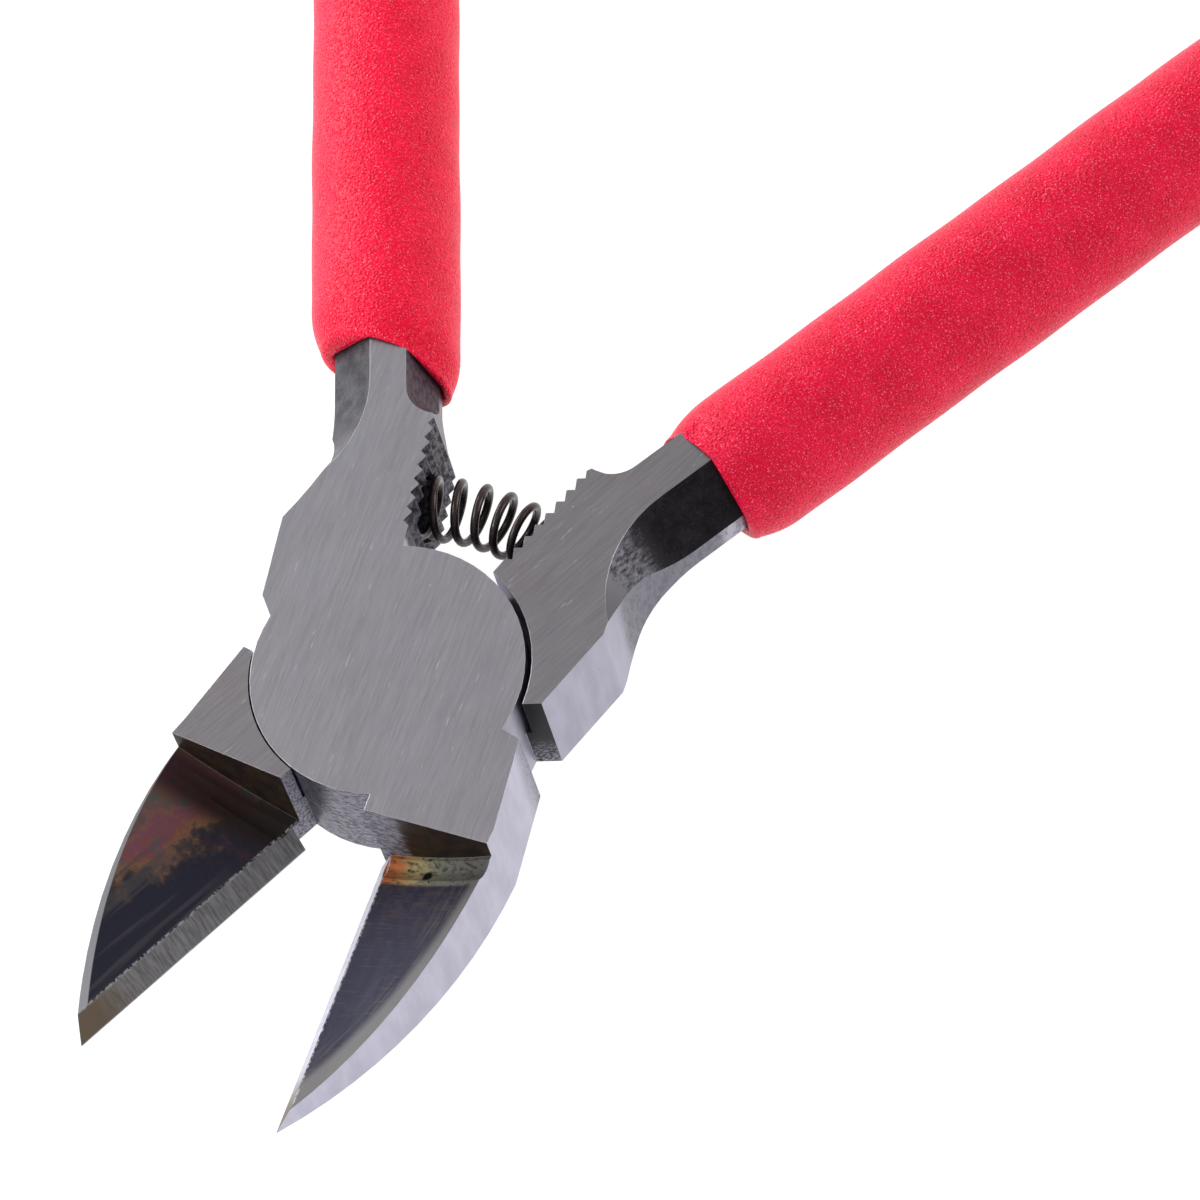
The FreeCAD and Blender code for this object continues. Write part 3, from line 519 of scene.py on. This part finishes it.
    dark = calc(tree, "MAXIMUM", calc(tree, "MAXIMUM", fall, sunk),
                calc(tree, "MAXIMUM", stepWall, teeth))
    rough = mixValue(tree, tone, 0.42, 0.34)
    rough = mixValue(tree, wall, rough, 0.38)
    rough = mixValue(tree, dark, rough, mixValue(tree, oxide.outputs["Tone"], 0.30, 0.52))
    metal = mixValue(tree, dark, 1.0, 0.22)
    gloss = mixValue(tree, dark, 0.5, 0.08)
    cut = plus(tree, times(tree, ridges, times(tree, sunk, 3.0 * half["ridgeLines"])),
               times(tree, oxide.outputs["Tone"], dark))
    height = plus(tree, times(tree, grain.outputs["Tone"], flat), cut)
    bump = addNode(tree, "ShaderNodeBump", {"Height": height, "Normal": edge.outputs["Normal"],
                                            "Strength": 0.35, "Distance": 0.00005})
    shader = addNode(tree, "ShaderNodeBsdfPrincipled", {"Base Color": colour, "Roughness": rough,
                                                        "Metallic": metal, "Specular IOR Level": gloss,
                                                        "Normal": bump.outputs["Normal"]})
    addNode(tree, "ShaderNodeOutputMaterial", {"Surface": shader.outputs["BSDF"]})
    return material


def setMaterial(piece, material):
    piece.data.materials.clear()
    piece.data.materials.append(material)


setMaterial(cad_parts["front_half"], halfMaterial("frontSteel", frontFinish))
setMaterial(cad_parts["back_half"], halfMaterial("backSteel", backFinish))
setMaterial(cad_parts["pivot_rivet"], halfMaterial("rivetSteel", frontFinish))
print("steel finished")


# ---- meshes from grids of points

# rows x columns of points, wrapped round the columns, each end closed on one point
def tubeMesh(name, rows, firstPole, lastPole):
    count, around = rows.shape[:2]
    points = np.concatenate([rows.reshape(-1, 3), [firstPole, lastPole]]) * mm
    row, column = np.meshgrid(np.arange(count - 1), np.arange(around), indexing="ij")
    nextColumn = (column + 1) % around
    quads = np.stack([row * around + column, row * around + nextColumn,
                      (row + 1) * around + nextColumn, (row + 1) * around + column],
                     axis=-1).reshape(-1, 4)
    ring = np.arange(around)
    nextRing = (ring + 1) % around
    first, last = count * around, count * around + 1
    caps = np.concatenate([np.stack([np.full(around, first), nextRing, ring], 1),
                           np.stack([np.full(around, last), (count - 1) * around + ring,
                                     (count - 1) * around + nextRing], 1)])
    mesh = bpy.data.meshes.new(name)
    mesh.vertices.add(len(points))
    mesh.vertices.foreach_set("co", points.astype(np.float32).ravel())
    mesh.loops.add(quads.size + caps.size)
    mesh.loops.foreach_set("vertex_index", np.concatenate([quads.ravel(),
                                                           caps.ravel()]).astype(np.int32))
    mesh.polygons.add(len(quads) + len(caps))
    starts = np.concatenate([np.arange(len(quads)) * 4, quads.size + np.arange(len(caps)) * 3])
    mesh.polygons.foreach_set("loop_start", starts.astype(np.int32))
    mesh.update(calc_edges=True)
    mesh.shade_smooth()
    piece = bpy.data.objects.new(name, mesh)
    bpy.context.scene.collection.objects.link(piece)
    return piece


# ---- the return spring

springSizes = dict(seatDistance=14.0, straight=3.85, opening=14.2, skew=7.5, midHeight=4.0,
                   coilRadius=1.95, wireRadius=0.28, turns=10.5, closedPitch=0.6, perTurn=64, around=16)


# centre line: straight out of one seat, on an arc of the seats' distance about the pivot,
# straight into the other seat; returns points and directions at these lengths
def springLine(length, sizes):
    opening = math.radians(sizes["opening"])
    arc = sizes["seatDistance"] * 2 * opening
    at = length - sizes["straight"]
    turn = opening - np.clip(at, 0, arc) / sizes["seatDistance"]
    beyond = np.minimum(at, 0) + np.maximum(at - arc, 0)
    way = np.stack([np.cos(turn), np.sin(turn), 0 * turn], 1)
    out = np.stack([-np.sin(turn), np.cos(turn), 0 * turn], 1)
    return out * sizes["seatDistance"] + way * beyond[:, None], way


# helix: the centre line's point plus the coil radius times (across cos - up sin) of the
# turn; the first and last turns lie close together, the rest share what is left evenly
def makeSpring(sizes):
    total = 2 * sizes["straight"] + sizes["seatDistance"] * 2 * math.radians(sizes["opening"])
    turns = np.linspace(0, sizes["turns"], int(sizes["turns"] * sizes["perTurn"]) + 1)
    length = np.interp(turns, [0, 1, sizes["turns"] - 1, sizes["turns"]],
                       [0, sizes["closedPitch"], total - sizes["closedPitch"], total])
    centre, way = springLine(length, sizes)
    up = np.array([0.0, 0.0, 1.0])
    across = np.cross(way, up)
    phase = (2 * np.pi * turns)[:, None]
    wire = centre + sizes["coilRadius"] * (across * np.cos(phase) - up * np.sin(phase))
    along = np.gradient(wire, axis=0)
    along /= np.linalg.norm(along, axis=1, keepdims=True)
    inward = centre - wire
    inward -= along * np.sum(inward * along, 1, keepdims=True)
    inward /= np.linalg.norm(inward, axis=1, keepdims=True)
    sideways = np.cross(along, inward)
    angle = np.linspace(0, 2 * np.pi, sizes["around"], endpoint=False)[None, :, None]
    ring = inward[:, None] * np.cos(angle) + sideways[:, None] * np.sin(angle)
    rows = wire[:, None] + sizes["wireRadius"] * ring
    skew = math.radians(sizes["skew"])
    spin = np.array([[math.cos(skew), -math.sin(skew), 0], [math.sin(skew), math.cos(skew), 0],
                     [0, 0, 1]])
    lift = np.array([0, 0, sizes["midHeight"]])
    place = lambda points: points @ spin.T + lift
    spring = tubeMesh("spring_wire", place(rows), place(wire[:1])[0], place(wire[-1:])[0])
    first = place(springLine(np.array([sizes["straight"]]), sizes)[0])[0]
    last = place(springLine(np.array([total - sizes["straight"]]), sizes)[0])[0]
    return spring, first, last


def springMaterial():
    material = bpy.data.materials.new("springWire")
    material.use_nodes = True
    tree = material.node_tree
    shader = tree.nodes["Principled BSDF"]
    where = turned(tree, addNode(tree, "ShaderNodeTexCoord").outputs["Object"], 0, toMillimetres)
    oxide = useGroup(tree, oxideGroup, {"Vector": where})
    colour = mixColour(tree, oxide.outputs["Tone"], rgb(0.012, 0.009, 0.009), rgb(0.075, 0.055, 0.052))
    colour = mixColour(tree, times(tree, oxide.outputs["Chips"], 0.4), colour, grey(0.3))
    tree.links.new(colour, shader.inputs["Base Color"])
    tree.links.new(mixValue(tree, oxide.outputs["Tone"], 0.18, 0.34), shader.inputs["Roughness"])
    shader.inputs["Metallic"].default_value = 0.7
    return material


spring, springStart, springEnd = makeSpring(springSizes)
setMaterial(spring, springMaterial())
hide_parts("return_spring")
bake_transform(spring)
print("spring made:", len(spring.data.polygons), "faces")


# ---- the dipped grips

# handle frame: s along the handle from the pivot, o outward, z up; direction is the
# handle's turn from +Y in the model
gripSizes = dict(radius=5.05, bendStart=78.0, bendRadius=150.0, bendAngle=16.5, endWall=2.4, endRound=4.6,
                 boreGap=0.07, midHeight=4.0, around=120, pitch=0.45, waviness=0.09, mouthRise=0.9,
                 lipDepth=0.5, taper=0.65, taperRun=3.0, boreRings=60, lipRings=12, endRings=16,
                 roundness=0.8, endPoint=0.08, coreHalf=4.0, innerFlat=-1.25, innerSide=-2.85,
                 innerSideHalf=0.55, outerSideHalf=0.8)
frontGripSizes = dict(side=-1, direction=34.7, centre=0.85, mouthInner=22.1, mouthOuter=26.3,
                      outerFlat=1.15, outerSide=4.15, seed=1.3, tone=0.84)
# the back grip's lower tone is painted shade: a darker copy of the same red vinyl
backGripSizes = dict(side=1, direction=-19.7, centre=1.3, mouthInner=23.8, mouthOuter=24.9,
                     outerFlat=1.65, outerSide=4.65, seed=4.1, tone=0.70)


# a point at s, o, z: on the straight (o, s); past the bend's start, on circles about a
# centre one bend radius inward
def handlePoint(s, o, z, sizes, grip):
    phi = np.maximum(s - sizes["bendStart"], 0) / sizes["bendRadius"]
    straight = np.minimum(s, sizes["bendStart"])
    x = (o + sizes["bendRadius"]) * np.cos(phi) - sizes["bendRadius"]
    y = straight + (o + sizes["bendRadius"]) * np.sin(phi)
    turn = math.radians(grip["direction"])
    x = x * grip["side"]
    return np.stack([x * math.cos(turn) - y * math.sin(turn), x * math.sin(turn) + y * math.cos(turn),
                     z + sizes["midHeight"]], axis=-1)


# the core's eight-cornered outline, a little larger, seen at even angles from the middle
def coreLoop(angles, sizes, grip):
    half, outerHalf, innerHalf = sizes["coreHalf"], sizes["outerSideHalf"], sizes["innerSideHalf"]
    corners = [(sizes["innerFlat"], half), (grip["outerFlat"], half), (grip["outerSide"], outerHalf),
               (grip["outerSide"], -outerHalf), (grip["outerFlat"], -half), (sizes["innerFlat"], -half),
               (sizes["innerSide"], -innerHalf), (sizes["innerSide"], innerHalf)]
    corners = np.array(corners) - [grip["centre"], 0]
    ends = np.roll(corners, -1, axis=0)
    ray = np.stack([np.cos(angles), np.sin(angles)], 1)
    side = ends - corners
    cross = ray[:, None, 0] * side[None, :, 1] - ray[:, None, 1] * side[None, :, 0]
    cross = np.where(np.abs(cross) < 1e-9, 1e-9, cross)
    reach = (corners[:, 0] * side[:, 1] - corners[:, 1] * side[:, 0])[None] / cross
    share = (corners[None, :, 0] * ray[:, None, 1] - corners[None, :, 1] * ray[:, None, 0]) / cross
    reach = np.where((reach > 0) & (share >= -1e-6) & (share <= 1 + 1e-6), reach, np.inf).min(1)
    return ray * (reach + sizes["boreGap"])[:, None]


# one closed skin, from the blind end of the bore, along the core, over the rounded lip and
# along the outside to a rounded end; the mouth is slanted across the handle, arched over
# its faces, and the sleeve thins towards it
def makeGrip(name, sizes, grip):
    angles = np.linspace(0, 2 * np.pi, sizes["around"], endpoint=False)
    bore = coreLoop(angles, sizes, grip)
    radius, depth = sizes["radius"], sizes["lipDepth"]
    outer = np.stack([np.cos(angles), np.sin(angles)], 1) * radius
    boreEnd = sizes["bendStart"] + sizes["bendRadius"] * math.radians(sizes["bendAngle"])
    end = boreEnd + sizes["endWall"] - grip["centre"] * math.sin(math.radians(sizes["bendAngle"]))
    slope = (grip["mouthOuter"] - grip["mouthInner"]) / (2 * radius)
    mouthMiddle = (grip["mouthOuter"] + grip["mouthInner"]) / 2

    def mouthAt(loop):
        return mouthMiddle + slope * loop[:, 0] + sizes["mouthRise"] * (loop[:, 1] / radius) ** 2

    loops, stations = [], []
    for share in np.linspace(0, 1, sizes["boreRings"]):  # the bore, from its end to the lip
        loops.append(bore)
        stations.append(boreEnd + share * (mouthAt(bore) + depth - boreEnd))
    rim = outer * (1 - sizes["taper"] / radius)
    for t in np.linspace(0, np.pi, sizes["lipRings"])[1:-1]:  # the lip, half a turn to the outside
        loops.append((rim + bore) / 2 - (rim - bore) / 2 * math.cos(t))
        stations.append(mouthAt(loops[-1]) + depth * (1 - math.sin(t) ** sizes["roundness"]))
    start, straight = mouthAt(rim) + depth, end - sizes["endRound"]
    for share in np.linspace(0, 1, int((straight - mouthMiddle) / sizes["pitch"])):
        s = start + share * (straight - start)
        # two slow waves along and round the sleeve, between 0 and 1 together
        slow = np.sin(s * 0.37 + 2.1 * np.sin(angles + grip["seed"]))
        quick = np.sin(s * 0.83 + 3 * angles + grip["seed"])
        dip = 0.5 + 0.25 * slow + 0.25 * quick
        thin = sizes["taper"] * (1 - np.minimum((s - start) / sizes["taperRun"], 1)) ** 2
        wave = sizes["waviness"] * dip * np.minimum((s - start) / sizes["taperRun"], 1)
        loops.append(outer * (1 - (thin + wave) / radius)[:, None])
        stations.append(s)
    last = loops[-1]
    for t in np.linspace(0, np.pi / 2, sizes["endRings"])[1:-1]:  # the end: a quarter turn
        fullness = math.cos(t) ** sizes["roundness"]
        loops.append(last * (sizes["endPoint"] + (1 - sizes["endPoint"]) * fullness))
        stations.append(straight + sizes["endRound"] * math.sin(t) + 0 * angles)
    loop, s = np.stack(loops), np.stack(stations)
    middle, level = np.array(grip["centre"]), np.array(0.0)
    rows = handlePoint(s, loop[..., 0] + middle, loop[..., 1], sizes, grip)
    blind = handlePoint(np.array(boreEnd), middle, level, sizes, grip)
    tip = handlePoint(np.array(end), middle, level, sizes, grip)
    return tubeMesh(name, rows, blind, tip)


def gripMaterial(name, seed, tone):
    material = bpy.data.materials.new(name)
    material.use_nodes = True
    tree = material.node_tree
    shader = tree.nodes["Principled BSDF"]
    place = addNode(tree, "ShaderNodeTexCoord").outputs["Object"]
    where = turned(tree, place, 0, toMillimetres, (seed, 0, 0))
    skin = useGroup(tree, peelGroup, {"Vector": where, "Fineness": 4.2})
    # base red from the grip's tone; for the back grip it carries painted shade
    colour = mixColour(tree, ramp(tree, skin.outputs["Swell"], 0.35, 0.65), rgb(tone, 0.002, 0.034),
                       rgb(tone + 0.1, 0.004, 0.048))
    # darker red spots: painted shade for the hollows of the skin
    colour = mixColour(tree, times(tree, skin.outputs["ShadeSpots"], 0.6), colour, rgb(0.50, 0.001, 0.016))
    # pale pink spots: painted glints on the skin
    colour = mixColour(tree, times(tree, skin.outputs["GlintSpots"], 0.85), colour, rgb(1.00, 0.22, 0.33))
    tree.links.new(colour, shader.inputs["Base Color"])
    tree.links.new(mixValue(tree, skin.outputs["Swell"], 0.30, 0.40), shader.inputs["Roughness"])
    bump = addNode(tree, "ShaderNodeBump", {"Height": skin.outputs["Height"], "Strength": 1.0,
                                            "Distance": 0.00008})
    tree.links.new(bump.outputs["Normal"], shader.inputs["Normal"])
    shader.inputs["Specular IOR Level"].default_value = 0.14
    return material


sleeves = [("front_sleeve", "front_grip", "front_grip_vinyl", "front", frontGripSizes),
           ("back_sleeve", "back_grip", "back_grip_vinyl", "back", backGripSizes)]
for name, node, slot, body, grip in sleeves:
    sleeve = makeGrip(name, gripSizes, grip)
    setMaterial(sleeve, gripMaterial(slot, grip["seed"], grip["tone"]))
    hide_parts(node)
    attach(sleeve, body)
    print(name, "made:", len(sleeve.data.polygons), "faces")


# ---- floor, light and camera

stageLook = dict(floorHeight=-1.25, floorHalf=1200.0, floorTone=0.22, floorGlow=0.95,
                 skyBand=(0.15, 0.85), skyLow=1.0, skyHigh=0.48, skyStrength=0.9, skyLean=0.28)


def makeFloor(look):
    half, height = look["floorHalf"] * mm, look["floorHeight"] * mm
    mesh = bpy.data.meshes.new("floor")
    mesh.from_pydata([(-half, -half, height), (half, -half, height), (half, half, height),
                      (-half, half, height)], [], [(0, 1, 2, 3)])
    floor = bpy.data.objects.new("floor", mesh)
    bpy.context.scene.collection.objects.link(floor)
    material = bpy.data.materials.new("paleFloor")
    material.use_nodes = True
    shader = material.node_tree.nodes["Principled BSDF"]
    shader.inputs["Base Color"].default_value = grey(look["floorTone"])
    shader.inputs["Roughness"].default_value = 0.9
    shader.inputs["Specular IOR Level"].default_value = 0.1
    shader.inputs["Emission Color"].default_value = grey(1.0)
    shader.inputs["Emission Strength"].default_value = look["floorGlow"]
    setMaterial(floor, material)


# pale all round, darker overhead, where the ground flats mirror it, and towards +X
def makeSky(look):
    world = bpy.data.worlds.new("studio")
    bpy.context.scene.world = world
    world.use_nodes = True
    tree = world.node_tree
    toX, _, height = axes(tree, addNode(tree, "ShaderNodeTexCoord").outputs["Generated"])
    colour = mixColour(tree, ramp(tree, height, *look["skyBand"]), grey(look["skyLow"]),
                       grey(look["skyHigh"]))
    shade = tree.nodes["Background"]
    tree.links.new(colour, shade.inputs["Color"])
    fade = minus(tree, 1.0, times(tree, toX, look["skyLean"]))
    tree.links.new(times(tree, fade, look["skyStrength"]), shade.inputs["Strength"])


# places and sizes in metres, power in watts
softboxes = dict(leftBox=dict(place=(-0.60, 0.10, 0.20), aim=(0, 0.03, 0), size=0.40, power=3.0),
                 nearBox=dict(place=(-0.33, -0.25, 0.46), aim=(0, 0.04, 0), size=0.30, power=1.6),
                 rightBox=dict(place=(0.45, 0.42, 0.26), aim=(0, 0.03, 0), size=0.35, power=1.5))


def addSoftbox(name, place, aim, size, power):
    light = bpy.data.lights.new(name, "AREA")
    light.shape, light.size, light.energy = "SQUARE", size, power
    lamp = bpy.data.objects.new(name, light)
    bpy.context.scene.collection.objects.link(lamp)
    lamp.location = place
    lamp.rotation_euler = (Vector(aim) - Vector(place)).to_track_quat("-Z", "Y").to_euler()


# place and aim in millimetres; roll turns the picture about the line of sight
cameraView = dict(place=(163.617, -119.181, 353.299), aim=(9.383, 10.840, 8.0), roll=-18.488,
                  lens=187.28, sensor=36.0)


def makeCamera(view):
    data = bpy.data.cameras.new("camera")
    data.lens, data.sensor_width = view["lens"], view["sensor"]
    data.clip_start, data.clip_end = 0.01, 10
    camera = bpy.data.objects.new("camera", data)
    bpy.context.scene.collection.objects.link(camera)
    place, aim = Vector(view["place"]) * mm, Vector(view["aim"]) * mm
    look = (aim - place).to_track_quat("-Z", "Y")
    camera.rotation_euler = (look @ Quaternion((0, 0, 1), math.radians(view["roll"]))).to_euler()
    camera.location = place
    bpy.context.scene.camera = camera


makeFloor(stageLook)
makeSky(stageLook)
for name, box in softboxes.items():
    addSoftbox(name, **box)
makeCamera(cameraView)
bpy.context.scene.view_settings.view_transform = "Standard"
print("stage set")
